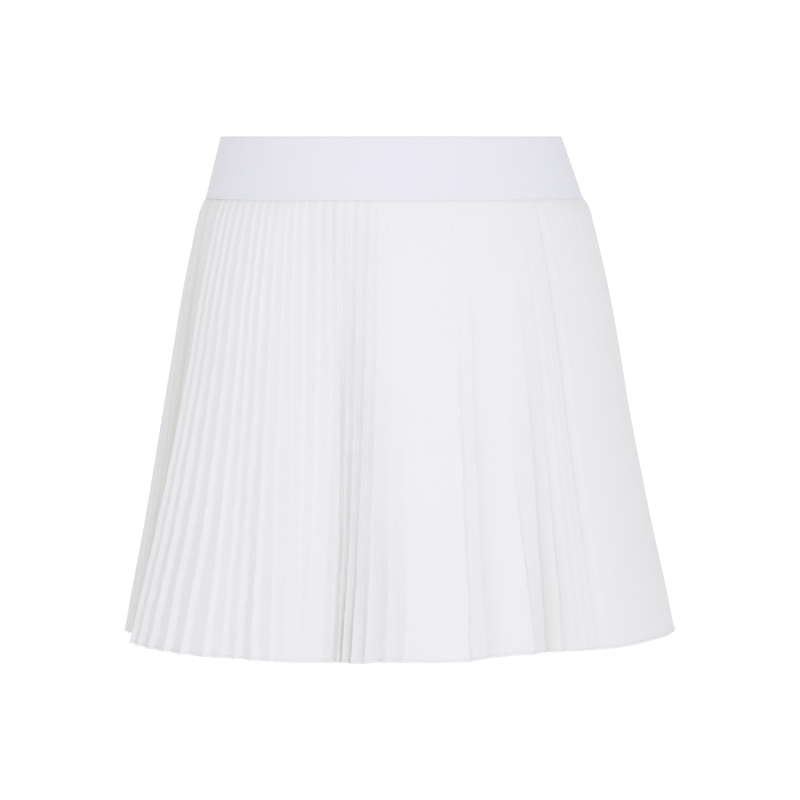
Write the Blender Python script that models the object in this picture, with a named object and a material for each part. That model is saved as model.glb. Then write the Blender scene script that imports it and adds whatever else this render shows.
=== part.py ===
"""Pleated tennis skirt: a wide elastic waistband over two sunray-pleated panels, open at waist and hem.

Metres, +Z up. The front faces -Y, and +X is on the right as seen from the front. The origin is the centre
of the waist opening at mid height of the waistband, where the wearer's waist holds the skirt.
Angles run round the skirt from the front centre (0) through +X (90) to the back centre (180).
"""

import math
from bisect import bisect_right
from typing import NamedTuple

import bmesh
import bpy
from mathutils import Vector

# Driving dimensions: lengths in millimetres, angles in degrees.
MM = 0.001
BAND_HEIGHT = 45.0
BAND_WALL = 2.0
BAND_COLUMNS = 96
BAND_ROWS = 3
BAND_EDGE_RADIUS = 0.7
SKIRT_LENGTH = 372.0  # top of the waistband to the hem
CLOTH_WALL = 1.1
SEAM_GAP = 0.3
TUCK = 8.0  # the pleated cloth runs this far up inside the waistband
TUCK_STEP = 1.5  # and leaves it this far below the waistband's lower edge
FACET_ALLOWANCE = 0.25  # the waistband's flat facets lie this much inside its curve
PLEATS_PER_PANEL = 46
PLEAT_DEPTH_TOP = 1.2
PLEAT_DEPTH_HEM = 4.6
FACE_SHARE = 0.78  # a pleat's long face takes this share of its width, and its steep return the rest
LEFT_SIDE = -90.0
RIGHT_SIDE = 90.0
SAMPLE_STEP = 0.5

BAND_TOP = BAND_HEIGHT / 2
BAND_BOTTOM = -BAND_HEIGHT / 2
HEM = BAND_TOP - SKIRT_LENGTH
PLEATS = 2 * PLEATS_PER_PANEL


class Outline(NamedTuple):
    """Half sizes of the skirt's outer edge at one height, from the middle to each side."""

    height: float
    left: float
    right: float
    front: float
    back: float


BAND_OUTLINES = (
    #       height       left   right  front  back
    Outline(BAND_TOP,    128.5, 126.5, 100.0, 101.0),
    Outline(BAND_BOTTOM, 139.5, 142.5, 113.0, 116.0),
)

PANEL_OUTLINES = (
    #       height  left   right  front  back
    Outline(-29.0,  142.8, 147.0, 115.5, 118.5),
    Outline(-42.0,  146.8, 151.0, 119.5, 123.5),
    Outline(-62.0,  151.2, 156.0, 124.0, 129.5),
    Outline(-95.0,  158.1, 163.5, 129.5, 136.5),
    Outline(-135.0, 165.0, 171.0, 135.0, 142.5),
    Outline(-180.0, 173.0, 178.5, 140.0, 147.0),
    Outline(-225.0, 181.1, 187.5, 144.5, 150.5),
    Outline(-270.0, 189.6, 197.0, 149.0, 153.5),
    Outline(-310.0, 198.0, 206.2, 153.0, 156.5),
    Outline(HEM,    206.0, 214.5, 157.0, 160.0),
)


class Fold(NamedTuple):
    """A soft trough that runs down the skirt, deepens towards the hem and draws its pleats together."""

    waist_angle: float
    hem_angle: float
    start: float  # where it begins: 0 at the waistband, 1 at the hem
    left_spread: float
    right_spread: float
    depth: float
    closing: float


FOLDS = (
    #    waist  hem    start left  right depth closing
    Fold(-80.0, -93.0, 0.00, 8.0,  4.0,  8.0,  0.30),
    Fold(-52.0, -44.0, 0.20, 4.0,  5.0,  4.0,  0.25),
    Fold(-28.0, -25.0, 0.00, 5.0,  10.0, 7.0,  0.55),
    Fold(4.5,   2.5,   0.28, 3.0,  7.0,  4.5,  0.20),
    Fold(28.0,  19.5,  0.12, 4.0,  7.0,  5.0,  0.35),
    Fold(38.0,  34.5,  0.00, 3.0,  5.0,  2.5,  0.15),
    Fold(99.0,  96.0,  0.05, 5.0,  8.0,  5.0,  0.30),
    Fold(124.0, 120.0, 0.30, 4.0,  8.0,  4.0,  0.25),
    Fold(146.0, 147.0, 0.00, 5.0,  9.0,  6.5,  0.40),
    Fold(172.0, 174.0, 0.20, 4.0,  7.0,  3.5,  0.20),
    Fold(197.0, 200.0, 0.00, 5.0,  10.0, 7.0,  0.45),
    Fold(224.0, 222.0, 0.12, 4.0,  8.0,  4.5,  0.25),
    Fold(246.0, 243.0, 0.35, 4.0,  7.0,  3.5,  0.25),
)


def clear_scene():
    """Removes every object of the startup scene."""
    for obj in list(bpy.data.objects):
        bpy.data.objects.remove(obj)


def cloth_material(name, colour, roughness):
    """A matte cloth finish."""
    material = bpy.data.materials.new(name)
    material.use_nodes = True
    shader = material.node_tree.nodes["Principled BSDF"]
    shader.inputs["Base Color"].default_value = (*colour, 1.0)
    shader.inputs["Roughness"].default_value = roughness
    shader.inputs["Metallic"].default_value = 0.0
    return material


def between(low, high, share):
    """The value a share of the way from low to high."""
    return low + (high - low) * share


def band_outline(height, inset=0.0):
    """The waistband's outer edge at a height, moved inwards by inset."""
    top, bottom = BAND_OUTLINES
    share = (top.height - height) / (top.height - bottom.height)
    sizes = [between(a, b, share) - inset for a, b in zip(top[1:], bottom[1:])]
    return Outline(height, *sizes)


def edge_point(outline, angle):
    """The point of an outline at an angle, and the direction that faces out of the skirt there."""
    sine = math.sin(math.radians(angle))
    cosine = math.cos(math.radians(angle))
    half_width = outline.right if sine > 0 else outline.left
    half_depth = outline.front if cosine > 0 else outline.back
    point = Vector((half_width * sine, -half_depth * cosine))
    outward = Vector((half_depth * sine, -half_width * cosine)).normalized()
    return point, outward


def drop_share(height):
    """How far down the skirt a height lies: 0 at the waistband's lower edge, 1 at the hem."""
    return max(0.0, (BAND_BOTTOM - height) / (BAND_BOTTOM - HEM))


def fold_at(angle, share):
    """The depth of the troughs at an angle, and how much they draw the pleats together."""
    depth = closing = 0.0
    for fold in FOLDS:
        middle = between(fold.waist_angle, fold.hem_angle, share)
        away = (angle - middle + 180.0) % 360.0 - 180.0
        spread = fold.left_spread if away < 0 else fold.right_spread
        grown = max(0.0, share - fold.start) / (1.0 - fold.start)
        strength = grown * math.exp(-((away / spread) ** 2))
        depth += fold.depth * strength
        closing += fold.closing * strength
    return depth, closing


class PleatedRing:
    """The middle line of the pleated cloth at one height, all round the skirt."""

    def __init__(self, outline):
        """Samples the unpleated line and numbers its length in pleats, the same number on each panel."""
        self.height = outline.height
        self.share = drop_share(outline.height)
        self.pleat_depth = between(PLEAT_DEPTH_TOP, PLEAT_DEPTH_HEM, self.share)
        inset = self.pleat_depth / 2 + CLOTH_WALL
        panel_samples = round((RIGHT_SIDE - LEFT_SIDE) / SAMPLE_STEP)
        self.samples = []
        for step in range(2 * panel_samples + 1):
            angle = LEFT_SIDE + step * SAMPLE_STEP
            point, outward = edge_point(outline, angle)
            trough, closing = fold_at(angle, self.share)
            self.samples.append((point - outward * (inset + trough), outward, closing))
        self.counts = [0.0]
        for (start, _, closing), (end, _, _) in zip(self.samples, self.samples[1:]):
            self.counts.append(self.counts[-1] + (end - start).length * (1.0 + closing))
        front = self.counts[panel_samples]
        back = self.counts[-1] - front
        for step, count in enumerate(self.counts):
            if step <= panel_samples:
                self.counts[step] = count / front * PLEATS_PER_PANEL
            else:
                self.counts[step] = PLEATS_PER_PANEL + (count - front) / back * PLEATS_PER_PANEL

    def at(self, count, side):
        """The point at a number of pleats from the left side seam: side is 1 on a crest and -1 in a valley."""
        count %= PLEATS
        step = min(bisect_right(self.counts, count), len(self.counts) - 1)
        low, high = self.counts[step - 1], self.counts[step]
        share = (count - low) / (high - low)
        (start, start_out, start_closing), (end, end_out, end_closing) = self.samples[step - 1 : step + 1]
        outward = start_out.lerp(end_out, share).normalized()
        depth = self.pleat_depth * (1.0 + between(start_closing, end_closing, share))
        return start.lerp(end, share) + outward * (side * depth / 2)

    def crest(self, pleat):
        """The outer fold of a pleat, at the far end of its long face."""
        return self.at(pleat + FACE_SHARE / 2, 1)

    def valley(self, pleat):
        """The inner fold of a pleat, where its long face starts."""
        return self.at(pleat - FACE_SHARE / 2, -1)

    def seam(self, pleat, gap):
        """The end of a panel at the middle of a pleat's face, moved along it to leave the other panel clear."""
        valley, crest = self.valley(pleat), self.crest(pleat)
        return valley.lerp(crest, 0.5) + (crest - valley).normalized() * gap

    def panel(self, first):
        """The points of one panel's cloth from seam to seam, where first is the pleat that its seam is on."""
        last = first + PLEATS_PER_PANEL
        points = [self.seam(first, SEAM_GAP / 2)]
        for pleat in range(first, last):
            points += [self.crest(pleat), self.valley(pleat + 1)]
        points.append(self.seam(last, -SEAM_GAP / 2))
        return [(point.x * MM, point.y * MM, self.height * MM) for point in points]


def sheet_object(name, rows, material, closed):
    """An object whose mesh is one sheet of faces through rows of points, from the top row down."""
    mesh = bpy.data.meshes.new(name)
    shape = bmesh.new()
    grid = [[shape.verts.new(point) for point in row] for row in rows]
    columns = len(rows[0])
    for upper, lower in zip(grid, grid[1:]):
        for column in range(columns if closed else columns - 1):
            beside = (column + 1) % columns
            shape.faces.new((upper[column], lower[column], lower[beside], upper[beside]))
    shape.to_mesh(mesh)
    shape.free()
    mesh.materials.append(material)
    obj = bpy.data.objects.new(name, mesh)
    bpy.context.scene.collection.objects.link(obj)
    return obj


def give_wall(obj, thickness, offset):
    """Turns a sheet into a closed wall: offset 0 grows it both ways, and -1 inwards only."""
    wall = obj.modifiers.new("wall", "SOLIDIFY")
    wall.thickness = thickness * MM
    wall.offset = offset
    wall.use_even_offset = True
    wall.use_rim = True


def make_waistband(material):
    """The elastic waistband: a smooth tube that widens downwards, with rounded upper and lower edges."""
    rows = []
    for row in range(BAND_ROWS + 1):
        outline = band_outline(between(BAND_TOP, BAND_BOTTOM, row / BAND_ROWS))
        points = []
        for column in range(BAND_COLUMNS):
            point, _ = edge_point(outline, LEFT_SIDE + 360.0 * column / BAND_COLUMNS)
            points.append((point.x * MM, point.y * MM, outline.height * MM))
        rows.append(points)
    band = sheet_object("waistband", rows, material, closed=True)
    give_wall(band, BAND_WALL, -1.0)
    edges = band.modifiers.new("rounded edges", "BEVEL")
    edges.width = BAND_EDGE_RADIUS * MM
    edges.segments = 2
    edges.limit_method = "ANGLE"
    edges.angle_limit = math.radians(60.0)
    for face in band.data.polygons:
        face.use_smooth = True
    band.data.set_sharp_from_angle(angle=math.radians(50.0))
    return band


def pleated_rings():
    """The pleated cloth's lines from its top edge, tucked inside the waistband, down to the hem."""
    tuck_inset = BAND_WALL + SEAM_GAP + FACET_ALLOWANCE
    outlines = [
        band_outline(BAND_BOTTOM + TUCK, tuck_inset),
        band_outline(BAND_BOTTOM - TUCK_STEP, tuck_inset),
        *PANEL_OUTLINES,
    ]
    return [PleatedRing(outline) for outline in outlines]


def make_panel(name, rings, first_pleat, material):
    """One pleated panel, from side seam to side seam."""
    rows = [ring.panel(first_pleat) for ring in rings]
    panel = sheet_object(name, rows, material, closed=False)
    give_wall(panel, CLOTH_WALL, 0.0)
    return panel


def main():
    """Builds the skirt's three pieces."""
    clear_scene()
    elastic = cloth_material("waistband_elastic", (0.80, 0.80, 0.90), 0.75)
    cloth = cloth_material("pleated_cloth", (0.86, 0.86, 0.88), 0.85)
    make_waistband(elastic)
    rings = pleated_rings()
    make_panel("front_panel", rings, 0, cloth)
    make_panel("back_panel", rings, PLEATS_PER_PANEL, cloth)


main()
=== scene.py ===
"""Pleated tennis skirt, dressed: a smooth elastic waistband over two sunray-pleated panels.

+Z is up and the front faces -Y. The skirt's heights and sizes are millimetres until they go into a mesh,
and the studio's are metres. Angles are degrees round the skirt: 0 at the front centre, 90 at the right (+X),
180 at the back and -90 at the left. A share of the drop is 0 at the waistband's lower edge and 1 at the hem.
"""

import logging
import math
from dataclasses import dataclass, field, fields
from enum import Enum

import bpy
import numpy as np
from mathutils import Matrix, Vector


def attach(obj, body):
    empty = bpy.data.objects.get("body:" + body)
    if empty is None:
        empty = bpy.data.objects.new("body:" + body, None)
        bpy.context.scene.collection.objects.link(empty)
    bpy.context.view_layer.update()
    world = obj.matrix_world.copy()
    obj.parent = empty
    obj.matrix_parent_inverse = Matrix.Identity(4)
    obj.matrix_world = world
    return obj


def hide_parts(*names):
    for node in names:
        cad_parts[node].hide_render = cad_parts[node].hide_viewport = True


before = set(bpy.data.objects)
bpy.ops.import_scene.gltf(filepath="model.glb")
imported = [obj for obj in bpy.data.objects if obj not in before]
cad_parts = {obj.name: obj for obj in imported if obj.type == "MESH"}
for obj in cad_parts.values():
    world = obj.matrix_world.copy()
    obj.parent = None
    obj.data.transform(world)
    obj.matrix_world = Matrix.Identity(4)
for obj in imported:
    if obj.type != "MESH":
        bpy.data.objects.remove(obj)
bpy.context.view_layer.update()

MM = 0.001
WELD = 1e-6
PANEL_PLEATS = 46
PLEATS = 2 * PANEL_PLEATS
SEAM_PLACE = -0.5
SIDES = ("left", "right", "front", "back")
WANDER_TURNS = (1.0, 2.6, 7.0, 18.0)

Values = float | np.ndarray
Colour = tuple[float, float, float]
Input = float | tuple[float, ...] | bpy.types.NodeSocket
WHITE = (1.0, 1.0, 1.0)

logging.basicConfig(level=logging.INFO, format="%(message)s")
log = logging.getLogger("skirt")


class PanelSide(Enum):
    """Which of the two pleated panels a piece is."""

    FRONT = "front"
    BACK = "back"


class Wander(Enum):
    """What wanders along a crease, with the size of each of its waves."""

    ANGLE = (0.16, 0.09, 0.09, 0.10)
    DEPTH = (0.13, 0.11, 0.08, 0.06)
    RETURN = (0.12, 0.08, 0.05, 0.04)


@dataclass(frozen=True)
class OutlineRow:
    """Half sizes of a smooth outer edge at one height, from the middle to each side."""

    height: float
    left: float
    right: float
    front: float
    back: float


@dataclass(frozen=True)
class Fold:
    """A soft trough down the skirt, with shade painted on its pleats' cloth. One that hardly sinks only
    paints the shade.

    Attributes:
        waist: Its angle at the waist.
        hem: Its angle at the hem.
        start: The share of the drop where it begins.
        left: How far it spreads to the left, in degrees.
        right: How far it spreads to the right.
        depth: Its depth at the hem.
        fold_shade: How much shade is painted on its pleats' cloth, most in their grooves.
    """

    waist: float
    hem: float
    start: float
    left: float
    right: float
    depth: float
    fold_shade: float

    def nearness(self, angle: np.ndarray, share: float) -> np.ndarray:
        """1 in the fold's middle, falling to 0 beside it, for each angle at a share of the drop."""
        away = (angle - between(self.waist, self.hem, share) + 180.0) % 360.0 - 180.0
        spread = np.where(away < 0, self.left, self.right)
        return np.exp(-((away / spread) ** 2))


@dataclass(frozen=True)
class CreaseMark:
    """A pleat's outer crease: its angle and depth at the waist, half way down and at the hem.

    The returns are the part of the pleat's width that its steep side takes at the waist and at the hem. The
    pleats between two marks are spaced evenly.
    """

    pleat: int
    waist: float
    middle: float
    hem: float
    waist_depth: float
    middle_depth: float
    hem_depth: float
    waist_return: float
    hem_return: float


@dataclass(frozen=True)
class HemMark:
    """How far the hem lies above its usual height at an angle."""

    angle: float
    lift: float


BAND_TOP = 22.5
BAND_BOTTOM = -22.5
HEM = -349.5

BAND_ROWS = tuple(OutlineRow(*row) for row in (
    # height      left   right  front  back
    (BAND_TOP,    128.5, 126.5, 100.0, 101.0),
    (BAND_BOTTOM, 139.5, 142.5, 113.0, 116.0),
))

PANEL_ROWS = tuple(OutlineRow(*row) for row in (
    # height left   right  front  back
    (-14.5,  135.0, 136.1, 108.2, 110.9),
    (-22.4,  138.3, 141.3, 112.1, 115.1),
    (-23.6,  139.9, 143.3, 113.9, 116.9),
    (-25.6,  141.3, 145.1, 115.0, 118.0),
    (-29.0,  142.9, 147.1, 116.2, 119.2),
    (-42.0,  146.8, 151.0, 119.5, 123.5),
    (-62.0,  151.2, 156.0, 124.0, 129.5),
    (-95.0,  158.1, 163.5, 129.5, 136.5),
    (-135.0, 165.0, 171.0, 135.0, 142.5),
    (-180.0, 173.0, 178.5, 140.0, 147.0),
    (-225.0, 181.1, 187.5, 144.5, 150.5),
    (-270.0, 189.6, 197.0, 149.0, 153.5),
    (-310.0, 198.0, 206.2, 153.0, 156.5),
    (HEM,    206.0, 214.5, 157.0, 160.0),
))

# The last column sets how much shade is painted on the cloth in each fold.
FOLDS = tuple(Fold(*row) for row in (
    # waist hem    start left right depth fold_shade (painted shade)
    (-78.0, -86.0, 0.00, 13.0, 2.2, 14.0, 1.5),
    (-52.0, -44.0, 0.20, 4.0, 5.0,  4.0,  0.1),
    (-23.6, -22.3, 0.30, 1.3, 1.0,  0.2,  0.8),
    (-21.9, -20.8, 0.20, 0.6, 2.8,  4.7,  0.7),
    (-21.5, -20.8, 0.62, 1.2, 1.8,  1.8,  0.1),
    (-17.8, -16.8, 0.05, 3.4, 3.6,  0.2,  0.5),
    (-13.0, -11.5, 0.45, 3.6, 5.5,  2.5,  0.55),
    (10.2,  9.9,   0.25, 2.6, 3.6,  5.0,  0.6),
    (29.5,  24.8,  0.15, 3.0, 6.5,  10.0, 0.55),
    (29.5,  24.8,  0.60, 3.0, 6.5,  0.2,  0.35),
    (37.0,  35.0,  0.00, 4.0, 4.5,  2.5,  0.35),
    (99.0,  96.0,  0.05, 5.0, 8.0,  5.0,  0.1),
    (124.0, 120.0, 0.30, 4.0, 8.0,  4.0,  0.2),
    (146.0, 147.0, 0.00, 3.0, 7.0,  8.0,  0.4),
    (172.0, 174.0, 0.20, 4.0, 7.0,  3.5,  0.1),
    (197.0, 200.0, 0.20, 1.5, 7.0,  11.0, 0.7),
    (224.0, 222.0, 0.12, 4.0, 8.0,  4.5,  0.2),
    (246.0, 243.0, 0.35, 4.0, 7.0,  3.5,  0.1),
))

CREASE_MARKS = tuple(CreaseMark(*row) for row in (
    # pleat waist   middle  hem     waist, middle and hem depth; waist and hem return
    (0,   -88.6,  -88.6,  -89.0,  1.4,  2.5,  4.4,  0.45, 0.45),
    (1,   -80.5,  -82.0,  -85.2,  2.2,  1.7,  3.2,  0.80, 0.36),
    (2,   -73.0,  -75.2,  -80.4,  1.5,  1.8,  3.2,  0.34, 0.28),
    (3,   -69.0,  -70.8,  -75.4,  1.3,  1.8,  3.3,  0.34, 0.28),
    (4,   -65.5,  -66.5,  -69.8,  1.1,  1.8,  3.5,  0.34, 0.27),
    (5,   -61.8,  -61.8,  -63.4,  1.1,  1.7,  3.4,  0.32, 0.27),
    (6,   -58.2,  -56.9,  -57.7,  1.1,  1.6,  3.1,  0.32, 0.27),
    (7,   -54.4,  -52.3,  -51.1,  1.1,  1.6,  2.7,  0.32, 0.28),
    (8,   -51.0,  -49.0,  -46.8,  1.0,  1.5,  2.6,  0.32, 0.30),
    (9,   -48.0,  -45.8,  -43.0,  0.8,  1.5,  3.3,  0.32, 0.32),
    (10,  -45.0,  -42.0,  -39.2,  0.6,  0.8,  2.3,  0.32, 0.34),
    (11,  -41.8,  -38.3,  -34.7,  0.7,  0.5,  1.0,  0.30, 0.34),
    (12,  -39.5,  -34.8,  -31.5,  1.3,  0.5,  0.1,  0.25, 0.30),
    (13,  -36.3,  -31.9,  -28.9,  2.8,  1.6,  0.2,  0.22, 0.20),
    (14,  -32.1,  -28.4,  -27.0,  2.7,  1.2,  0.2,  0.24, 0.20),
    (15,  -29.0,  -25.1,  -23.9,  3.0,  1.1,  0.2,  0.24, 0.30),
    (16,  -26.3,  -22.3,  -21.4,  2.9,  2.8,  2.6,  0.25, 0.90),
    (17,  -22.8,  -20.7,  -20.3,  2.8,  3.0,  3.1,  0.26, 0.38),
    (18,  -19.4,  -18.8,  -19.65, 2.4,  3.5,  4.4,  0.32, 0.72),
    (19,  -16.0,  -16.6,  -17.8,  1.4,  3.5,  4.4,  0.34, 0.74),
    (20,  -13.8,  -13.7,  -15.0,  0.8,  2.4,  4.6,  0.32, 0.66),
    (21,  -11.0,  -9.8,   -10.7,  0.2,  1.0,  3.5,  0.30, 0.50),
    (22,  -8.2,   -6.7,   -6.9,   0.1,  0.3,  1.5,  0.20, 0.50),
    (23,  -4.6,   -2.9,   -2.2,   0.1,  0.1,  0.3,  0.25, 0.25),
    (24,  0.6,    1.6,    1.9,    0.1,  0.1,  0.1,  0.25, 0.25),
    (25,  6.8,    6.4,    6.1,    0.1,  1.3,  2.3,  0.26, 0.26),
    (26,  10.4,   9.6,    10.0,   0.1,  1.4,  2.9,  0.28, 0.30),
    (27,  14.6,   13.2,   13.0,   0.1,  0.1,  0.2,  0.25, 0.25),
    (28,  19.4,   18.8,   20.1,   0.1,  0.1,  2.1,  0.22, 0.18),
    (29,  23.8,   24.5,   24.0,   0.1,  0.8,  5.0,  0.24, 0.26),
    (30,  27.2,   29.0,   27.4,   0.1,  0.9,  3.6,  0.26, 0.34),
    (31,  30.6,   31.8,   30.7,   0.1,  0.3,  0.5,  0.26, 0.30),
    (32,  33.2,   33.9,   33.4,   0.1,  0.1,  0.2,  0.22, 0.22),
    (33,  35.2,   35.9,   35.8,   1.0,  1.5,  0.4,  0.22, 0.24),
    (34,  39.2,   39.2,   39.4,   0.2,  0.06, 0.06, 0.20, 0.20),
    (42,  77.5,   77.5,   77.6,   0.2,  0.07, 0.07, 0.22, 0.22),
    (45,  87.8,   87.8,   87.8,   0.4,  0.6,  0.9,  0.28, 0.28),
    (46,  91.8,   91.6,   91.5,   0.4,  0.7,  1.1,  0.30, 0.28),
    (50,  107.9,  107.0,  106.5,  0.7,  1.5,  2.3,  0.32, 0.30),
    (54,  124.0,  122.5,  121.5,  1.0,  2.2,  3.4,  0.35, 0.30),
    (59,  142.0,  144.0,  145.0,  0.7,  1.5,  2.2,  0.35, 0.30),
    (62,  152.5,  152.5,  152.0,  1.0,  2.4,  4.2,  0.35, 0.34),
    (67,  172.0,  173.0,  174.0,  0.8,  1.6,  2.6,  0.35, 0.30),
    (73,  195.0,  197.5,  198.5,  0.7,  1.5,  2.6,  0.35, 0.30),
    (76,  207.0,  206.0,  205.0,  1.0,  2.4,  4.0,  0.35, 0.34),
    (81,  226.0,  225.0,  224.0,  0.8,  1.8,  3.0,  0.35, 0.30),
    (86,  246.5,  245.5,  244.5,  1.0,  2.2,  3.6,  0.35, 0.30),
    (91,  267.3,  267.3,  267.3,  1.4,  3.0,  4.4,  0.45, 0.45),
))

HEM_MARKS = tuple(HemMark(*row) for row in (
    # angle, lift
    (-110.0, 2.4), (-92.0, 4.6), (-86.0, 2.4), (-72.0, 1.6), (-48.0, 0.3), (-28.0, -0.1), (-23.0, 0.2),
    (-17.0, -0.9), (-11.0, 0.1), (0.0, -0.6), (6.0, -0.8), (10.0, 0.2), (15.0, 2.2), (21.0, 2.0),
    (26.0, 1.1), (45.0, 1.0), (55.0, 2.0), (75.0, 1.8), (140.0, -0.6), (200.0, 0.7), (235.0, 0.6),
))

HEM_MESH_ROWS = (0.0, 0.35, 1.2)
TURN_MESH_ROWS = (-0.25, 0.1, 0.5)
PLAIN_START = 4.6
PLAIN_END = -29.0
SEAM_MESH_ROWS = (-27.0, -25.4, -24.2, -23.2, -22.4, -20.0, -14.5)
STEEP_COLUMNS = (0.0, 0.15, 0.5, 0.85)
FACE_COLUMNS = (0.0, 0.06, 0.2, 0.5, 0.8, 0.95)


def between(low: Values, high: Values, share: Values) -> Values:
    """The value a share of the way from low to high."""
    return low + (high - low) * share


def smooth_curve(knots: np.ndarray, values: np.ndarray, at: np.ndarray) -> np.ndarray:
    """Reads a smooth curve that runs through given values.

    Args:
        knots: Where the values are given, rising.
        values: The value at each knot.
        at: Where to read the curve.

    Returns:
        The curve's value at each place.
    """
    slopes = np.gradient(values, knots)
    index = np.clip(np.searchsorted(knots, at, side="right") - 1, 0, len(knots) - 2)
    width = knots[index + 1] - knots[index]
    t = np.clip((at - knots[index]) / width, 0.0, 1.0)
    rise = values[index + 1] - values[index]
    start, end = slopes[index] * width, slopes[index + 1] * width
    return values[index] + t * (start + t * (3 * rise - 2 * start - end + t * (start + end - 2 * rise)))


def rounded_corner(place: np.ndarray, corner: Values, half_width: Values) -> np.ndarray:
    """A ramp that starts at a corner, with the corner rounded off.

    Args:
        place: Where to read the ramp.
        corner: Where the ramp starts.
        half_width: How far the rounding reaches to each side.

    Returns:
        0 before the corner and the distance past it after, with a smooth bend between.
    """
    away = place - corner
    bend = (away + half_width) ** 2 / (4 * half_width)
    return np.where(away <= -half_width, 0.0, np.where(away >= half_width, away, bend))


def running_length(points: np.ndarray) -> np.ndarray:
    """The length along a row of points, at each of them."""
    return np.concatenate([[0.0], np.cumsum(np.linalg.norm(np.diff(points, axis=0), axis=-1))])


def oval(sizes: list[Values], angle: np.ndarray) -> tuple[np.ndarray, np.ndarray]:
    """Finds points on an oval.

    Args:
        sizes: Its half sizes to the left, right, front and back.
        angle: Angles round the skirt.

    Returns:
        The points, and outward directions of any length, both as rows of x and y.
    """
    left, right, front, back = sizes
    sine, cosine = np.sin(np.radians(angle)), np.cos(np.radians(angle))
    wide = np.where(sine > 0, right, left)
    deep = np.where(cosine > 0, front, back)
    return np.stack([wide * sine, -deep * cosine], -1), np.stack([deep * sine, -wide * cosine], -1)


@dataclass(frozen=True)
class ClothRow:
    """The cloth's outer surface along one height.

    Attributes:
        points: Rows of x and y in millimetres.
        outward: The outward direction at each point.
        lift: How far the uneven hem lifts each point.
        fold_shade: How much shade is painted there, from 0 to 1, most at a pleat's bottom.
        pressed: How much highlight is painted there, 1 on a pressed outer crease and 0 beside it.
    """

    points: np.ndarray
    outward: np.ndarray
    lift: np.ndarray
    fold_shade: np.ndarray
    pressed: np.ndarray


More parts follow.
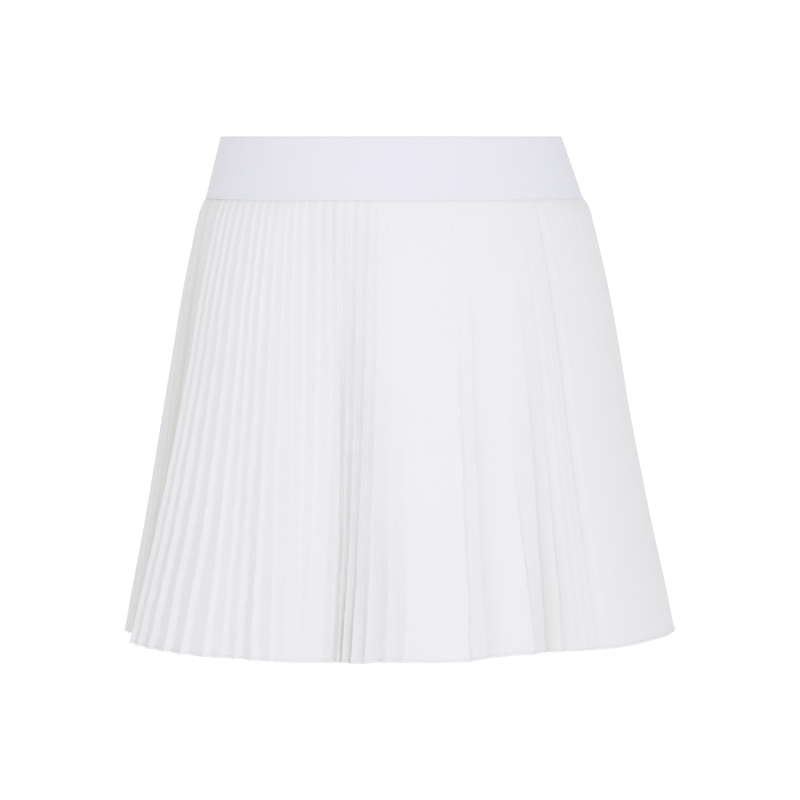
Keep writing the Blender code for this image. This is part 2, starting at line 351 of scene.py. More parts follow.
@dataclass
class SkirtForm:
    """The skirt's shape: its outline, its folds and the lines of its pleats, and where shade and highlight
    are painted.

    Attributes:
        seam_hold: How much the waistband's seam flattens the pleats.
        seam_reach: How far down it does, as a share of the drop.
        crease_bend: Half width of an outer crease's rounding.
        crease_limit: The most of a pleat's narrower side that this takes.
        groove_bend: Half width of the rounding at the bottom of a pleat.
        groove_limit: The most of a pleat's narrower side that this takes.
        flat_depth: Depth from which a pleat is sharp. A shallower one follows the smooth outline.
        usual_pitch: Width in degrees under which a pleat's crease wanders less.
        return_range: The least and most of a pleat's width that its steep side takes.
        opening_lead: How far above a fold's start its painted shade begins, as a share of the drop.
        opening_reach: How far down that painted shade reaches full strength, as a share of the drop.
        crest_shade_cut: How much less shade is painted at a pleat's crease than at its bottom.
        pressed_depth: Depth from which a pressed crease gets its full painted highlight.
        pressed_width: Width of the painted highlight beside a crease.
        seed: Start of the random draws for the creases' small wander.
        size_range: The range of a wave's size, times its usual one.
        turn_range: The range of a wave's number of turns, times its usual one.
        waves: The size, turns and phase of the drawn waves, for every pleat.
    """

    seam_hold: float = 0.6
    seam_reach: float = 0.06
    crease_bend: float = 0.35
    crease_limit: float = 0.4
    groove_bend: float = 1.3
    groove_limit: float = 0.5
    flat_depth: float = 0.9
    usual_pitch: float = 3.9
    return_range: tuple[float, float] = (0.08, 0.93)
    opening_lead: float = 0.1
    opening_reach: float = 0.4
    crest_shade_cut: float = 0.6
    pressed_depth: float = 2.0
    pressed_width: float = 0.5
    seed: int = 11
    size_range: tuple[float, float] = (0.5, 1.4)
    turn_range: tuple[float, float] = (0.7, 1.6)
    waves: dict[Wander, list[tuple[np.ndarray, np.ndarray, np.ndarray]]] = field(default_factory=dict)

    def __post_init__(self) -> None:
        """Draws the small waves that make each crease wander."""
        draw = np.random.default_rng(self.seed)
        for kind in Wander:
            self.waves[kind] = [
                (
                    size * draw.uniform(*self.size_range, PLEATS),
                    draw.uniform(*self.turn_range, PLEATS) * turns,
                    draw.uniform(0, 2 * np.pi, PLEATS),
                )
                for size, turns in zip(kind.value, WANDER_TURNS)
            ]

    def wander(self, kind: Wander, share: float) -> np.ndarray:
        """Reads one kind of wander for every crease at a share of the drop."""
        waves = self.waves[kind]
        return sum(size * np.sin(2 * np.pi * turns * share + phase) for size, turns, phase in waves)

    def drop_share(self, height: float) -> float:
        """How far down the skirt a height lies, as a share of the drop."""
        return max(0.0, (BAND_BOTTOM - height) / (BAND_BOTTOM - HEM))

    def half_sizes(self, height: float) -> list[float]:
        """The outline's left, right, front and back half sizes at a height."""
        rows = sorted(PANEL_ROWS, key=lambda row: row.height)
        knots = np.array([row.height for row in rows])
        return [
            float(smooth_curve(knots, np.array([getattr(row, side) for row in rows]), np.array(height)))
            for side in SIDES
        ]

    def hem_lift(self, angle: np.ndarray, share: float) -> np.ndarray:
        """How far the cloth's uneven lower edge lifts a row, at each angle and at a share of the drop."""
        marks = [mark.angle for mark in HEM_MARKS]
        lifts = [mark.lift for mark in HEM_MARKS]
        return np.interp((angle - marks[0]) % 360.0 + marks[0], marks, lifts) * share**3

    def trough(self, angle: np.ndarray, share: float) -> np.ndarray:
        """The depth of the folds at each angle, at a share of the drop."""
        depth = np.zeros_like(angle)
        for fold in FOLDS:
            grown = max(0.0, share - fold.start) / (1.0 - fold.start)
            depth += fold.depth * grown * fold.nearness(angle, share)
        return depth

    def opening(self, angle: np.ndarray, share: float) -> np.ndarray:
        """How much shade the folds paint at each angle, from 0 for none, at a share of the drop."""
        fold_shade = np.zeros_like(angle)
        for fold in FOLDS:
            grown = min(1.0, max(0.0, share - fold.start + self.opening_lead) / self.opening_reach)
            fold_shade += fold.fold_shade * grown * fold.nearness(angle, share)
        return fold_shade

    def creases(self, share: float) -> tuple[np.ndarray, np.ndarray, np.ndarray]:
        """The angle, depth and return share of every pleat at a share of the drop."""
        marked = [mark.pleat for mark in CREASE_MARKS]
        waist, middle, hem, waist_depth, middle_depth, hem_depth, waist_return, hem_return = (
            np.interp(np.arange(PLEATS), marked, [getattr(mark, column.name) for mark in CREASE_MARKS])
            for column in fields(CreaseMark)[1:]
        )
        bow = middle - (waist + hem) / 2
        angle = between(waist, hem, share) + bow * 4 * share * (1 - share)
        room = np.diff(np.append(angle, angle[0] + 360.0)) / self.usual_pitch
        room = np.minimum(np.minimum(room, np.roll(room, 1)), 1.0)
        angle = angle + self.wander(Wander.ANGLE, share) * room
        if share < 0.5:
            depth = between(waist_depth, middle_depth, 2 * share)
        else:
            depth = between(middle_depth, hem_depth, 2 * share - 1)
        held = self.seam_hold * max(0.0, 1 - share / self.seam_reach) ** 2
        depth = depth * (1 + self.wander(Wander.DEPTH, share)) * (1 - held)
        back = between(waist_return, hem_return, share**3) * (1 + self.wander(Wander.RETURN, share))
        return angle, depth, np.clip(back, *self.return_range)

    def level(self, t: np.ndarray, back: np.ndarray, pitch: np.ndarray) -> np.ndarray:
        """Finds the height of a pleat's sawtooth, with its corners rounded.

        Args:
            t: The place across the pleat, from 0 at its own crease to 1 at the next.
            back: The part of its width that its steep side takes.
            pitch: Its width.

        Returns:
            About 1 at the creases and 0 at the bottom.
        """
        narrower = np.minimum(back, 1 - back)
        crest = np.minimum(self.crease_bend / pitch, self.crease_limit * narrower)
        groove = np.minimum(self.groove_bend / pitch, self.groove_limit * narrower)
        fall, rise = -1 / back, 1 / (1 - back)
        level = 1 + rise * t + (fall - rise) * rounded_corner(t, 0.0, crest)
        bottom, next_crease = rounded_corner(t, back, groove), rounded_corner(t, 1.0, crest)
        level += (rise - fall) * bottom + (fall - rise) * next_crease
        return level

    def row(self, height: float, place: np.ndarray) -> ClothRow:
        """Finds the cloth's outer surface along one height.

        Args:
            height: The height in millimetres.
            place: Places round the skirt, counted in pleats from the first crease. The first half of each
                pleat is its steep side and the second half its long face.

        Returns:
            The cloth's outer surface at each place.
        """
        share = self.drop_share(height)
        angle, depth, back = self.creases(share)
        angle = np.append(angle, angle[0] + 360.0)
        point, outward = oval(self.half_sizes(height), angle)
        outward /= np.linalg.norm(outward, axis=-1, keepdims=True)
        point = point - outward * self.trough(angle, share)[:, None]
        chord = point[1:] - point[:-1]
        pitch = np.linalg.norm(chord, axis=-1)
        along = chord / pitch[:, None]
        out = np.stack([along[:, 1], -along[:, 0]], -1)
        before = np.roll(along, 1, axis=0)
        turn = before[:, 0] * along[:, 1] - before[:, 1] * along[:, 0]

        pleat = np.floor(place).astype(int)
        part = 2 * (place - pleat)
        pleat %= PLEATS
        back, depth, pitch = back[pleat], depth[pleat], pitch[pleat]
        t = np.where(part < 1, part * back, back + (part - 1) * (1 - back))
        level = self.level(t, back, pitch)
        curve = turn[pleat] / 2 * t * (1 - t) ** 2 + turn[(pleat + 1) % PLEATS] / 2 * t**2 * (1 - t)
        curve *= pitch * np.clip(1 - depth / self.flat_depth, 0.0, 1.0)
        drop = depth * (1 - level) - curve
        points = point[pleat] + chord[pleat] * t[:, None] - out[pleat] * drop[:, None]
        angles = angle[pleat] + (angle[pleat + 1] - angle[pleat]) * t
        # Painted highlight: the cloth is lightened along each pressed crease, fully where the pleat is deep.
        pressed = np.clip(1 - np.minimum(t, 1 - t) * pitch / self.pressed_width, 0.0, 1.0)
        pressed = np.minimum(depth / self.pressed_depth, 1.0) * pressed
        # Painted shade: the cloth is darkened inside the folds, most at each pleat's bottom and least at its
        # crease.
        fold_shade = self.opening(angles, share) * (1 - self.crest_shade_cut * np.clip(level, 0.0, 1.0))
        lift = self.hem_lift(angles, share)
        return ClothRow(points, out[pleat], lift, np.minimum(fold_shade, 1.0), pressed)


def smooth_cloth(obj: bpy.types.Object) -> None:
    """Shades every face of a piece smooth."""
    obj.data.polygons.foreach_set("use_smooth", np.ones(len(obj.data.polygons), dtype=bool))


def activate(obj: bpy.types.Object) -> None:
    """Selects one object alone and makes it the active one."""
    bpy.ops.object.select_all(action="DESELECT")
    obj.select_set(True)
    bpy.context.view_layer.objects.active = obj


def grid_sheet(name: str, points: np.ndarray, lengths: np.ndarray) -> bpy.types.Object:
    """Adds a grid and bends it to a sheet of given points.

    Args:
        name: The piece's name.
        points: The sheet's points in metres, as rows from the lowest up, each from left to right.
        lengths: Each point's place across and up the flat cloth, in metres.

    Returns:
        The sheet, with its own UV map in metres.
    """
    rows, columns = points.shape[:2]
    bpy.ops.mesh.primitive_grid_add(x_subdivisions=columns - 1, y_subdivisions=rows - 1, size=1)
    sheet = bpy.context.object
    sheet.name = sheet.data.name = name
    mesh = sheet.data
    mesh.vertices.foreach_set("co", points.reshape(-1))
    corners = np.empty(len(mesh.loops), dtype=int)
    mesh.loops.foreach_get("vertex_index", corners)
    mesh.uv_layers.active.data.foreach_set("uv", lengths.reshape(-1, 2)[corners].reshape(-1))
    mesh.update()
    smooth_cloth(sheet)
    return sheet


@dataclass(frozen=True)
class Stitching:
    """A row of sewn stitches, each a short plump length of thread.

    Attributes:
        length: A stitch's length.
        gap: The space between two stitches.
        thread: The thread's thickness.
        spread: How much wider than thick it lies.
        proud: How much of its thickness its middle stands off the cloth.
        start: Where along its path the row starts.
    """

    length: float = 2.1
    gap: float = 0.7
    thread: float = 0.26
    spread: float = 1.3
    proud: float = 0.2
    start: float = 0.5

    def one_stitch(self) -> bpy.types.Object:
        """Models the first stitch, along X and with its outer side towards Z."""
        bpy.ops.mesh.primitive_uv_sphere_add(
            segments=6, ring_count=5, radius=0.5, rotation=(0.0, math.pi / 2, 0.0)
        )
        stitch = bpy.context.object
        bpy.ops.object.transform_apply(location=True, rotation=True, scale=False)
        bpy.ops.object.mode_set(mode="EDIT")
        bpy.ops.mesh.select_all(action="SELECT")
        bpy.ops.transform.resize(value=(self.length * MM, self.thread * self.spread * MM, self.thread * MM))
        bpy.ops.object.mode_set(mode="OBJECT")
        smooth_cloth(stitch)
        return stitch

    def sew(
        self, name: str, path: np.ndarray, outward: np.ndarray, thread: bpy.types.Material
    ) -> bpy.types.Object:
        """Sews a row of stitches along a path.

        Args:
            name: The piece's name.
            path: Points on the cloth's surface in millimetres, close together.
            outward: The surface's outward direction at each point.
            thread: The thread's finish.

        Returns:
            All the stitches, as one piece.
        """
        along = running_length(path)
        starts = np.arange(self.start, along[-1] - self.length, self.length + self.gap)

        def at(values: np.ndarray, place: float) -> Vector:
            """Reads a row of vectors at a length along the path."""
            return Vector([float(np.interp(place, along, values[:, axis])) for axis in range(3)])

        first = self.one_stitch()
        stitches = []
        for start in starts:
            head, tail = at(path, start), at(path, start + self.length)
            out = at(outward, start + self.length / 2)
            ahead = (tail - head).normalized()
            side = out.cross(ahead).normalized()
            turned = Matrix((ahead, side, ahead.cross(side))).transposed().to_4x4()
            middle = (head + tail) / 2 + out * self.thread * self.proud
            stitch = first.copy()
            stitch.data = first.data.copy()
            stitch.data.transform(Matrix.Translation(middle * MM) @ turned)
            bpy.context.collection.objects.link(stitch)
            stitches.append(stitch)
        bpy.data.objects.remove(first)
        activate(stitches[0])
        for stitch in stitches[1:]:
            stitch.select_set(True)
        bpy.ops.object.join()
        row = bpy.context.object
        row.name = row.data.name = name
        row.data.materials.append(thread)
        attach(row, "root")
        log.info("%s: %d stitches", name, len(stitches))
        return row


@dataclass
class PleatedPanel:
    """One sunray-pleated panel from side seam to side seam.

    Attributes:
        form: The skirt's shape.
        side: Front or back.
        wall: Thickness of the cloth.
        row_step: Usual distance between rows of the mesh.
        hem_turn: Height of the narrow turned hem.
        hem_proud: How far the turned hem stands out from the smooth form.
        sunk: How far the rest of the cloth lies inside it.
        stitch_drop: How far under the top of the turned hem its stitches run.
    """

    form: SkirtForm
    side: PanelSide
    wall: float = 0.35
    row_step: float = 3.45
    hem_turn: float = 2.2
    hem_proud: float = 0.07
    sunk: float = 0.15
    stitch_drop: float = 0.5

    def heights(self) -> np.ndarray:
        """The heights of the mesh's rows, from the hem up, closer together at both ends."""
        turned = [self.hem_turn + step for step in TURN_MESH_ROWS]
        plain_start = HEM + PLAIN_START
        count = round((PLAIN_END - plain_start) / self.row_step)
        plain = np.linspace(plain_start, PLAIN_END, count + 1)
        return np.concatenate([HEM + np.array([*HEM_MESH_ROWS, *turned]), plain, SEAM_MESH_ROWS])

    def places(self) -> np.ndarray:
        """The columns' places round the skirt, counted in pleats, closer together at the creases."""
        pleat = np.concatenate([STEEP_COLUMNS, 1 + np.array(FACE_COLUMNS)]) / 2
        start = SEAM_PLACE + (PANEL_PLEATS if self.side is PanelSide.BACK else 0)
        end = start + PANEL_PLEATS
        whole = (np.arange(math.floor(start), math.ceil(end))[:, None] + pleat).reshape(-1)
        apart = 0.01
        return np.concatenate([[start], whole[(whole > start + apart) & (whole < end - apart)], [end]])

    def proud(self, height: float) -> float:
        """How far the cloth's outer face stands out at a height: a little more over the turned hem."""
        return self.hem_proud if height - HEM <= self.hem_turn else -self.sunk

    def hem_stitches(self, stitching: Stitching, thread: bpy.types.Material) -> bpy.types.Object:
        """Sews the turned hem with one row of stitches.

        Args:
            stitching: The kind of stitches.
            thread: The thread's finish.

        Returns:
            The stitches, as one piece.
        """
        margin, samples = 0.02, 4000
        height = HEM + self.hem_turn - self.stitch_drop
        first, last = self.places()[[0, -1]]
        cloth_row = self.form.row(height, np.linspace(first + margin, last - margin, samples))
        path = np.column_stack([cloth_row.points, height + cloth_row.lift])
        tangent = np.gradient(cloth_row.points, axis=0)
        outward = np.column_stack([tangent[:, 1], -tangent[:, 0], np.zeros(len(tangent))])
        outward /= np.linalg.norm(outward, axis=-1, keepdims=True)
        path[:, :2] += cloth_row.outward * self.proud(height)
        return stitching.sew(f"{self.side.value}_hem_stitches", path, outward, thread)

    def make(self, cloth: bpy.types.Material) -> bpy.types.Object:
        """Builds the panel.

        Args:
            cloth: The cloth's finish.

        Returns:
            The panel, as a thin closed wall.
        """
        heights, places = self.heights(), self.places()
        grid = (len(heights), len(places))
        points = np.empty((*grid, 3))
        lengths = np.empty((*grid, 2))
        # Painted shade in the folds and painted highlight on the creases, kept as point values for the
        # cloth's finish.
        tones = {name: np.empty(grid, dtype=np.float32) for name in ("fold_shade", "pressed")}
        for row, height in enumerate(heights):
            cloth_row = self.form.row(height, places)
            points[row, :, :2] = (cloth_row.points + cloth_row.outward * self.proud(height)) * MM
            points[row, :, 2] = (height + cloth_row.lift) * MM
            lengths[row, :, 0] = running_length(points[row])
            lengths[row, :, 0] -= lengths[row, -1, 0] / 2
            lengths[row, :, 1] = height * MM
            tones["fold_shade"][row], tones["pressed"][row] = cloth_row.fold_shade, cloth_row.pressed
        panel = grid_sheet(f"{self.side.value}_panel_cloth", points, lengths)
        for name, values in tones.items():
            tone = panel.data.attributes.new(name, "FLOAT", "POINT")
            tone.data.foreach_set("value", values.reshape(-1))
        wall = panel.modifiers.new("wall", "SOLIDIFY")
        wall.thickness = self.wall * MM
        wall.offset = -1.0
        activate(panel)
        bpy.ops.object.modifier_apply(modifier="wall")
        panel.data.materials.append(cloth)
        node = f"{self.side.value}_panel"
        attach(panel, "root")
        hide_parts(node)
        log.info("%s: %d faces", panel.name, len(panel.data.polygons))
        return panel


@dataclass
class Waistband:
    """The wide elastic waistband: a smooth knitted tube with rounded edges and a narrow ridge over its seam.

    Attributes:
        wall: Thickness of the elastic.
        columns: Mesh columns round the skirt.
        weave_length: Length of the weave's pattern round the band, in metres.
        face: How far the plain outer face lies inside the band's outline.
        join_groove: Depth of the groove where the elastic's ends are sewn together, at the centre back.
        join_spread: Half width of that groove, in degrees.
        join_width: Distance between the two rows of stitches beside it, before the flat back narrows it.
        join_narrowed: How much of that distance is left.
        join_ends: The heights where those rows end.
    """

    wall: float = 2.0
    columns: int = 288
    weave_length: float = 0.76
    face: float = 0.02
    join_groove: float = 0.22
    join_spread: float = 1.0
    join_width: float = 4.4
    join_narrowed: float = 0.8
    join_ends: tuple[float, float] = (-18.8, 20.6)

    def profile(self) -> np.ndarray:
        """The wall's cross section, as rows of inset and height, up the outside and back down the inside."""
        lower = [(1.0, -23.3), (0.5, -23.25), (0.16, -23.05), (0.0, -22.7)]
        ridge = [(-0.06, -22.2), (-0.09, -21.6), (-0.06, -21.0), (0.01, -20.6), (0.03, -20.0)]
        outer = [(self.face, height) for height in (-17.5, -14.0, -9.0, -3.0, 3.0, 9.0, 14.0, 17.5, 19.6)]
        outer_edge = [(0.04, 20.9), (0.10, 21.6), (0.28, 22.15), (0.62, 22.43)]
        inner_edge = [(1.0, 22.5), (1.38, 22.43), (1.72, 22.15), (1.93, 21.6)]
        inner = [(self.wall, height) for height in (20.5, 14.0, 5.0, -5.0, -14.0, -20.5)]
        close = [(1.95, -22.4), (1.75, -22.9), (1.4, -23.2)]
        return np.array(lower + ridge + outer + outer_edge + inner_edge + inner + close)

    def surface(self, angle: np.ndarray, height: np.ndarray, inset: np.ndarray) -> np.ndarray:
        """Finds points of the band.

        Args:
            angle: Angles round the skirt.
            height: Heights in millimetres.
            inset: How far inside the band's plain outer face each point lies.

        Returns:
            The points in millimetres, as rows of x, y and z.
        """
        top, bottom = BAND_ROWS
        share = (top.height - height) / (top.height - bottom.height)
        sizes = [between(getattr(top, side), getattr(bottom, side), share) - inset for side in SIDES]
        point, _ = oval(sizes, angle)
        level = np.broadcast_to(height, point.shape[:-1])
        return np.concatenate([point, level[..., None]], -1)

    def join_stitches(self, stitching: Stitching, thread: bpy.types.Material) -> list[bpy.types.Object]:
        """Sews the elastic's two ends together with a row of stitches on each side of the join.

        Args:
            stitching: The kind of stitches.
            thread: The thread's finish.

        Returns:
            The two rows of stitches.
        """
        samples = 60
        height = np.linspace(*self.join_ends, samples)
        aside = math.degrees(self.join_width / 2 / BAND_ROWS[0].back) * self.join_narrowed
        outward = np.tile(np.array([0.0, 1.0, 0.0]), (samples, 1))
        rows = []
        for side, label in ((-1, "left"), (1, "right")):
            path = self.surface(np.full(samples, 180.0 + side * aside), height, np.full(samples, self.face))
            name = f"waistband_join_stitches_{label}"
            rows.append(stitching.sew(name, path, outward, thread))
        return rows

    def make(self, elastic: bpy.types.Material) -> bpy.types.Object:
        """Builds the waistband.

        Args:
            elastic: The elastic's finish.

        Returns:
            The closed band.
        """
        profile = self.profile()
        angle = -90.0 + 360.0 * np.arange(self.columns + 1) / self.columns
        outer = np.abs(profile[:, 0]) < self.wall / 10
        groove = np.outer(outer * self.join_groove, np.exp(-(((angle - 180.0) / self.join_spread) ** 2)))
        points = self.surface(angle, profile[:, 1:], profile[:, :1] + groove) * MM
        points = np.concatenate([points, points[:1]])
        round_it = self.weave_length * np.arange(self.columns + 1) / self.columns
        lengths = np.stack(np.meshgrid(round_it, running_length(points[:, 0])), -1)
        band = grid_sheet("waistband_elastic", points, lengths)
        activate(band)
        bpy.ops.object.mode_set(mode="EDIT")
        bpy.ops.mesh.select_all(action="SELECT")
        bpy.ops.mesh.remove_doubles(threshold=WELD)
        bpy.ops.mesh.normals_make_consistent(inside=False)
        bpy.ops.object.mode_set(mode="OBJECT")
        band.data.materials.append(elastic)
        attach(band, "root")
        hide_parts("waistband")
        log.info("%s: %d faces", band.name, len(band.data.polygons))
        return band


def set_inputs(node: bpy.types.Node, inputs: dict[str | int, Input]) -> None:
    """Gives a node's inputs their values, or links other nodes' outputs to them."""
    for key, value in inputs.items():
        if isinstance(value, bpy.types.NodeSocket):
            node.id_data.links.new(value, node.inputs[key])
        else:
            node.inputs[key].default_value = value


def add_node(
    owner: bpy.types.Material | bpy.types.World,
    kind: str,
    inputs: dict[str | int, Input] | None = None,
    **settings: str,
) -> bpy.types.Node:
    """Adds a shader node.

    Args:
        owner: The material or world that the node goes in.
        kind: The node's type.
        inputs: A value or another node's output for each input that isn't left as it is.
        settings: The node's own settings.

    Returns:
        The node.
    """
    node = owner.node_tree.nodes.new(f"ShaderNode{kind}")
    for name, setting in settings.items():
        setattr(node, name, setting)
    set_inputs(node, inputs or {})
    return node


@dataclass(frozen=True)
class WovenFinish:
    """A fine woven or knitted white cloth.

    Attributes:
        name: The material's name.
        colour: Its colour in linear light.
        deeper: The colour of its faint uneven patches.
        roughness: How matte it is.
        threads: Threads in a metre, both ways.
        weave_depth: Height of the weave in metres.
        crumple_depth: Height of the slow unevenness in metres.
        fold_shade_tones: Painted shade that its colour takes on in the folds, darkest at 1.
        pressed_tones: Painted highlight that its colour takes on up to a pressed crease.
        sheen: Strength of its soft edge sheen.
        sheen_roughness: How wide that sheen spreads.
        specular: Strength of its plain reflection.
        roughness_spread: How much its roughness varies to each side.
        patch_scale: Patches in a metre.
        patch_detail: Steps of finer patches in them.
        patch_range: The range of the patches' values that the roughness follows.
        crumple_scale: Slow bumps in a metre.
        crumple_detail: Steps of finer bumps in them.
    """

    name: str
    colour: Colour
    deeper: Colour
    roughness: float
    threads: float
    weave_depth: float
    crumple_depth: float
    fold_shade_tones: tuple[Colour, ...] = ()
    pressed_tones: tuple[Colour, ...] = ()
    sheen: float = 0.1
    sheen_roughness: float = 0.5
    specular: float = 0.25
    roughness_spread: float = 0.05
    patch_scale: float = 22.0
    patch_detail: float = 3.0
    patch_range: tuple[float, float] = (0.3, 0.7)
    crumple_scale: float = 90.0
    crumple_detail: float = 2.0

    def paint_shade_and_highlight(self, material: bpy.types.Material, colour: bpy.types.NodeSocket) -> bpy.types.NodeSocket:
        """Paints shade in the folds and a highlight on the creases into a colour.

        Args:
            material: The material that the nodes go in.
            colour: The plain cloth's colour.

        Returns:
            The colour with the painted shade and highlight.
        """
        # Multiplies painted shade from the fold values and a painted highlight from the crease values into
        # the colour.
        for name, tones in (("fold_shade", self.fold_shade_tones), ("pressed", self.pressed_tones)):
            if not tones:
                continue
            read = add_node(material, "Attribute", attribute_name=name)
            ramp = add_node(material, "ValToRGB", {"Fac": read.outputs["Fac"]})
            stops = ramp.color_ramp.elements
            for place in np.linspace(0.0, 1.0, len(tones) + 1)[1:-1]:
                stops.new(float(place))
            for stop, tone in zip(stops, (WHITE, *tones)):
                stop.color = (*tone, 1.0)
            inputs = {"Factor": 1.0, "A": colour, "B": ramp.outputs["Color"]}
            mix = add_node(material, "Mix", inputs, data_type="RGBA", blend_type="MULTIPLY")
            colour = mix.outputs["Result"]
        return colour

    def weave(self, material: bpy.types.Material) -> bpy.types.NodeSocket:
        """Adds the height of the crossing threads, and returns it."""
        uv = add_node(material, "UVMap").outputs["UV"]
        scale = add_node(material, "Mapping", {"Vector": uv, "Scale": (self.threads, self.threads, 1.0)})
        split = add_node(material, "SeparateXYZ", {"Vector": scale.outputs["Vector"]})
        waves = {}
        for index, axis in enumerate(("X", "Y")):
            turn = add_node(material, "Math", {0: split.outputs[axis], 1: 2 * math.pi}, operation="MULTIPLY")
            waves[index] = add_node(material, "Math", {0: turn.outputs[0]}, operation="SINE").outputs[0]
        return add_node(material, "Math", waves, operation="MULTIPLY").outputs[0]

    def make(self) -> bpy.types.Material:
        """Builds the material and returns it."""
        material = bpy.data.materials.new(self.name)
        material.use_nodes = True
        place = add_node(material, "TexCoord").outputs["Object"]
        inputs = {"Vector": place, "Scale": self.patch_scale, "Detail": self.patch_detail}
        patches = add_node(material, "TexNoise", inputs).outputs["Fac"]
        inputs = {"Factor": patches, "A": (*self.deeper, 1.0), "B": (*self.colour, 1.0)}
        tint = add_node(material, "Mix", inputs, data_type="RGBA")
        wear = add_node(material, "MapRange", {
            "Value": patches,
            "From Min": self.patch_range[0],
            "From Max": self.patch_range[1],
            "To Min": self.roughness - self.roughness_spread,
            "To Max": self.roughness + self.roughness_spread,
        })
        inputs = {"Vector": place, "Scale": self.crumple_scale, "Detail": self.crumple_detail}
        crumple = add_node(material, "TexNoise", inputs).outputs["Fac"]
        soft = add_node(material, "Bump", {"Distance": self.crumple_depth, "Height": crumple})
        fine = add_node(material, "Bump", {
            "Distance": self.weave_depth,
            "Height": self.weave(material),
            "Normal": soft.outputs["Normal"],
        })
        set_inputs(material.node_tree.nodes["Principled BSDF"], {
            "Base Color": self.paint_shade_and_highlight(material, tint.outputs["Result"]),
            "Roughness": wear.outputs["Result"],
            "Specular IOR Level": self.specular,
            "Sheen Weight": self.sheen,
            "Sheen Roughness": self.sheen_roughness,
            "Normal": fine.outputs["Normal"],
        })
        return material


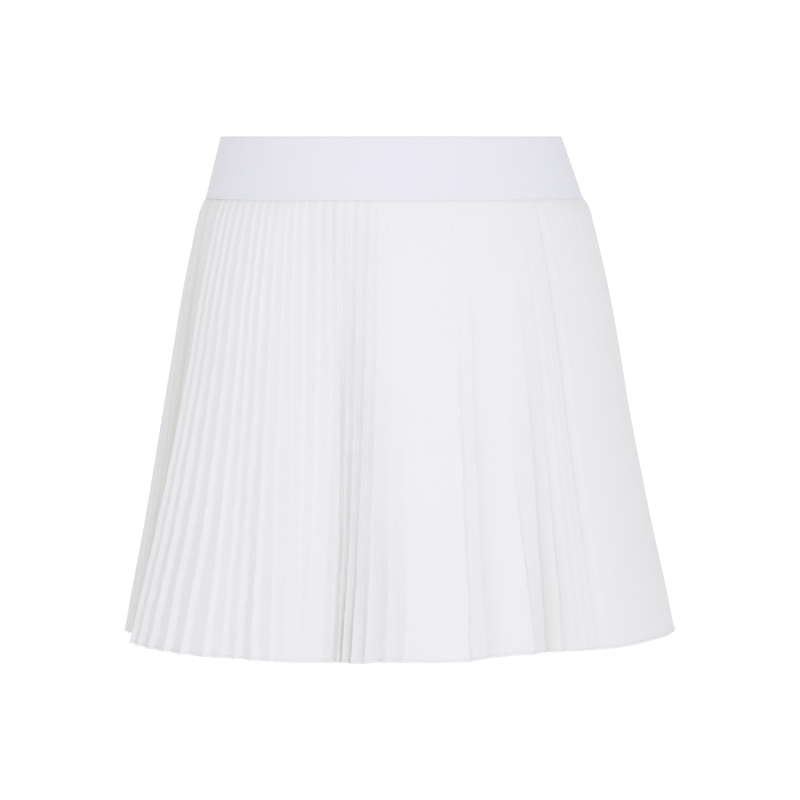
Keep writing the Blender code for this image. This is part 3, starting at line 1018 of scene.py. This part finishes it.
@dataclass
class Studio:
    """The pale studio: floor, even surroundings, soft lights and camera.

    Attributes:
        azimuth: The camera's angle from the front, negative towards the skirt's left.
        distance: The camera's distance.
        height: The camera's height.
        tilt: How far the camera looks down.
        view_width: Width of what the camera sees at the skirt.
        aside: How far the camera stands to the right of the skirt's middle.
        floor_height: The floor's height.
        front_glow: Brightness of the surroundings in front and behind.
        side_glow: Brightness of the surroundings at the sides.
        glow_colour: The surroundings' colour where they light the skirt.
        backdrop: Brightness of the surroundings that the camera sees.
        floor_size: The length of the floor's sides.
        floor_grey: The floor's colour under its own glow.
        floor_roughness: How matte the floor is.
        sensor: The width of the camera's sensor in millimetres.
        sight: How far the camera sees.
        light_height: The height of the two lights.
        light_away: Their distance from the skirt's middle line.
        light_size: The length of their sides.
        light_power: Their power in watts.
        light_colour: Their colour.
        lit_height: The height that they face.
    """

    azimuth: float = -12.0
    distance: float = 2.8
    height: float = 0.0225
    tilt: float = 4.01
    view_width: float = 0.5956
    aside: float = 0.00521
    floor_height: float = -1.1
    front_glow: float = 0.785
    side_glow: float = 0.712
    glow_colour: Colour = (1.0, 1.0, 0.985)
    backdrop: float = 1.05
    floor_size: float = 60.0
    floor_grey: float = 0.05
    floor_roughness: float = 0.9
    sensor: float = 36.0
    sight: float = 100.0
    light_height: float = 0.9
    light_away: float = 2.6
    light_size: float = 1.6
    light_power: float = 18.6
    light_colour: Colour = (0.84, 0.82, 1.0)
    lit_height: float = -0.17

    def make_camera(self) -> None:
        """Adds the camera at the viewing angle."""
        turn, tilt = math.radians(self.azimuth), math.radians(self.tilt)
        right = Vector((math.cos(turn), math.sin(turn), 0.0))
        ahead = Vector((-math.sin(turn), math.cos(turn), 0.0))
        place = Vector((0.0, 0.0, self.height)) - ahead * self.distance + right * self.aside
        aim = ahead * math.cos(tilt) + Vector((0.0, 0.0, -math.sin(tilt)))
        facing = aim.to_track_quat("-Z", "Y").to_euler()
        bpy.ops.object.camera_add(location=place, rotation=facing)
        camera = bpy.context.object
        camera.name = "camera"
        camera.data.sensor_width = self.sensor
        camera.data.lens = self.sensor * self.distance / self.view_width
        camera.data.clip_end = self.sight
        bpy.context.scene.camera = camera

    def make_floor(self) -> None:
        """Adds the plain pale floor, bright as a lit studio sweep."""
        bpy.ops.mesh.primitive_plane_add(size=self.floor_size, location=(0.0, 0.0, self.floor_height))
        floor = bpy.context.object
        floor.name = "floor"
        bpy.ops.object.transform_apply(location=True, rotation=False, scale=False)
        material = bpy.data.materials.new("white_floor")
        material.use_nodes = True
        set_inputs(material.node_tree.nodes["Principled BSDF"], {
            "Base Color": (self.floor_grey, self.floor_grey, self.floor_grey, 1.0),
            "Roughness": self.floor_roughness,
            "Specular IOR Level": 0.0,
            "Emission Color": (*WHITE, 1.0),
            "Emission Strength": 1.0,
        })
        floor.data.materials.append(material)

    def make_surroundings(self) -> None:
        """Adds white surroundings, which light the skirt softly and evenly."""
        world = bpy.data.worlds.new("studio")
        bpy.context.scene.world = world
        world.use_nodes = True
        world.node_tree.nodes.clear()
        seen = add_node(world, "Background", {"Color": (*WHITE, 1.0), "Strength": self.backdrop})
        turn = math.radians(self.azimuth)
        front = (math.sin(turn), -math.cos(turn), 0.0)
        place = add_node(world, "TexCoord").outputs["Generated"]
        facing = add_node(world, "VectorMath", {0: place, 1: front}, operation="DOT_PRODUCT").outputs["Value"]
        square = add_node(world, "Math", {0: facing, 1: facing}, operation="MULTIPLY").outputs[0]
        rise = self.front_glow - self.side_glow
        level = add_node(world, "Math", {0: square, 1: rise, 2: self.side_glow}, operation="MULTIPLY_ADD")
        inputs = {"Color": (*self.glow_colour, 1.0), "Strength": level.outputs[0]}
        glow = add_node(world, "Background", inputs)
        seen_by_camera = add_node(world, "LightPath").outputs["Is Camera Ray"]
        mix = add_node(world, "MixShader", {0: seen_by_camera, 1: glow.outputs[0], 2: seen.outputs[0]})
        add_node(world, "OutputWorld", {"Surface": mix.outputs[0]})

    def make_light(self, name: str, azimuth: float) -> None:
        """Adds one soft square light that faces the skirt.

        Args:
            name: The light's name.
            azimuth: Its angle round the skirt.
        """
        turn = math.radians(azimuth)
        away = self.light_away
        place = Vector((math.sin(turn) * away, -math.cos(turn) * away, self.light_height))
        aim = Vector((0.0, 0.0, self.lit_height)) - place
        facing = aim.to_track_quat("-Z", "Y").to_euler()
        bpy.ops.object.light_add(type="AREA", location=place, rotation=facing)
        light = bpy.context.object
        light.name = name
        light.data.shape = "SQUARE"
        light.data.size = self.light_size
        light.data.energy = self.light_power
        light.data.color = self.light_colour

    def make(self) -> None:
        """Adds everything in the studio."""
        self.make_camera()
        self.make_floor()
        self.make_surroundings()
        self.make_light("key_light", -3.0)
        self.make_light("back_light", 174.0)
        view = bpy.context.scene.view_settings
        view.view_transform = "Standard"
        view.look = "None"
        view.exposure = 0.0
        view.gamma = 1.0


def main() -> None:
    """Builds the skirt and its studio."""
    Studio().make()
    form = SkirtForm()
    elastic = WovenFinish(
        name="waistband_elastic_finish",
        colour=(0.804, 0.804, 0.852),
        deeper=(0.79, 0.79, 0.838),
        roughness=0.75,
        threads=900.0,
        weave_depth=4e-5,
        crumple_depth=2e-5,
    ).make()
    cloth = WovenFinish(
        name="pleated_cloth_finish",
        colour=(0.85, 0.85, 0.86),
        deeper=(0.836, 0.836, 0.846),
        roughness=0.85,
        threads=1500.0,
        weave_depth=4e-5,
        crumple_depth=3e-5,
        # Painted shade in the folds, yellower where darkest, and a painted highlight on the creases.
        fold_shade_tones=((0.955, 0.955, 0.945), (0.885, 0.885, 0.825)),
        pressed_tones=((1.015, 1.015, 1.015),),
    ).make()
    thread = WovenFinish(
        name="sewing_thread_finish",
        colour=(0.85, 0.85, 0.86),
        deeper=(0.83, 0.83, 0.84),
        roughness=0.6,
        threads=2500.0,
        weave_depth=2e-5,
        crumple_depth=1e-5,
    ).make()
    waistband = Waistband()
    waistband.make(elastic)
    waistband.join_stitches(Stitching(length=1.9, gap=0.9), thread)
    for side in PanelSide:
        panel = PleatedPanel(form, side)
        panel.make(cloth)
        panel.hem_stitches(Stitching(), thread)


if __name__ == "__main__":
    main()
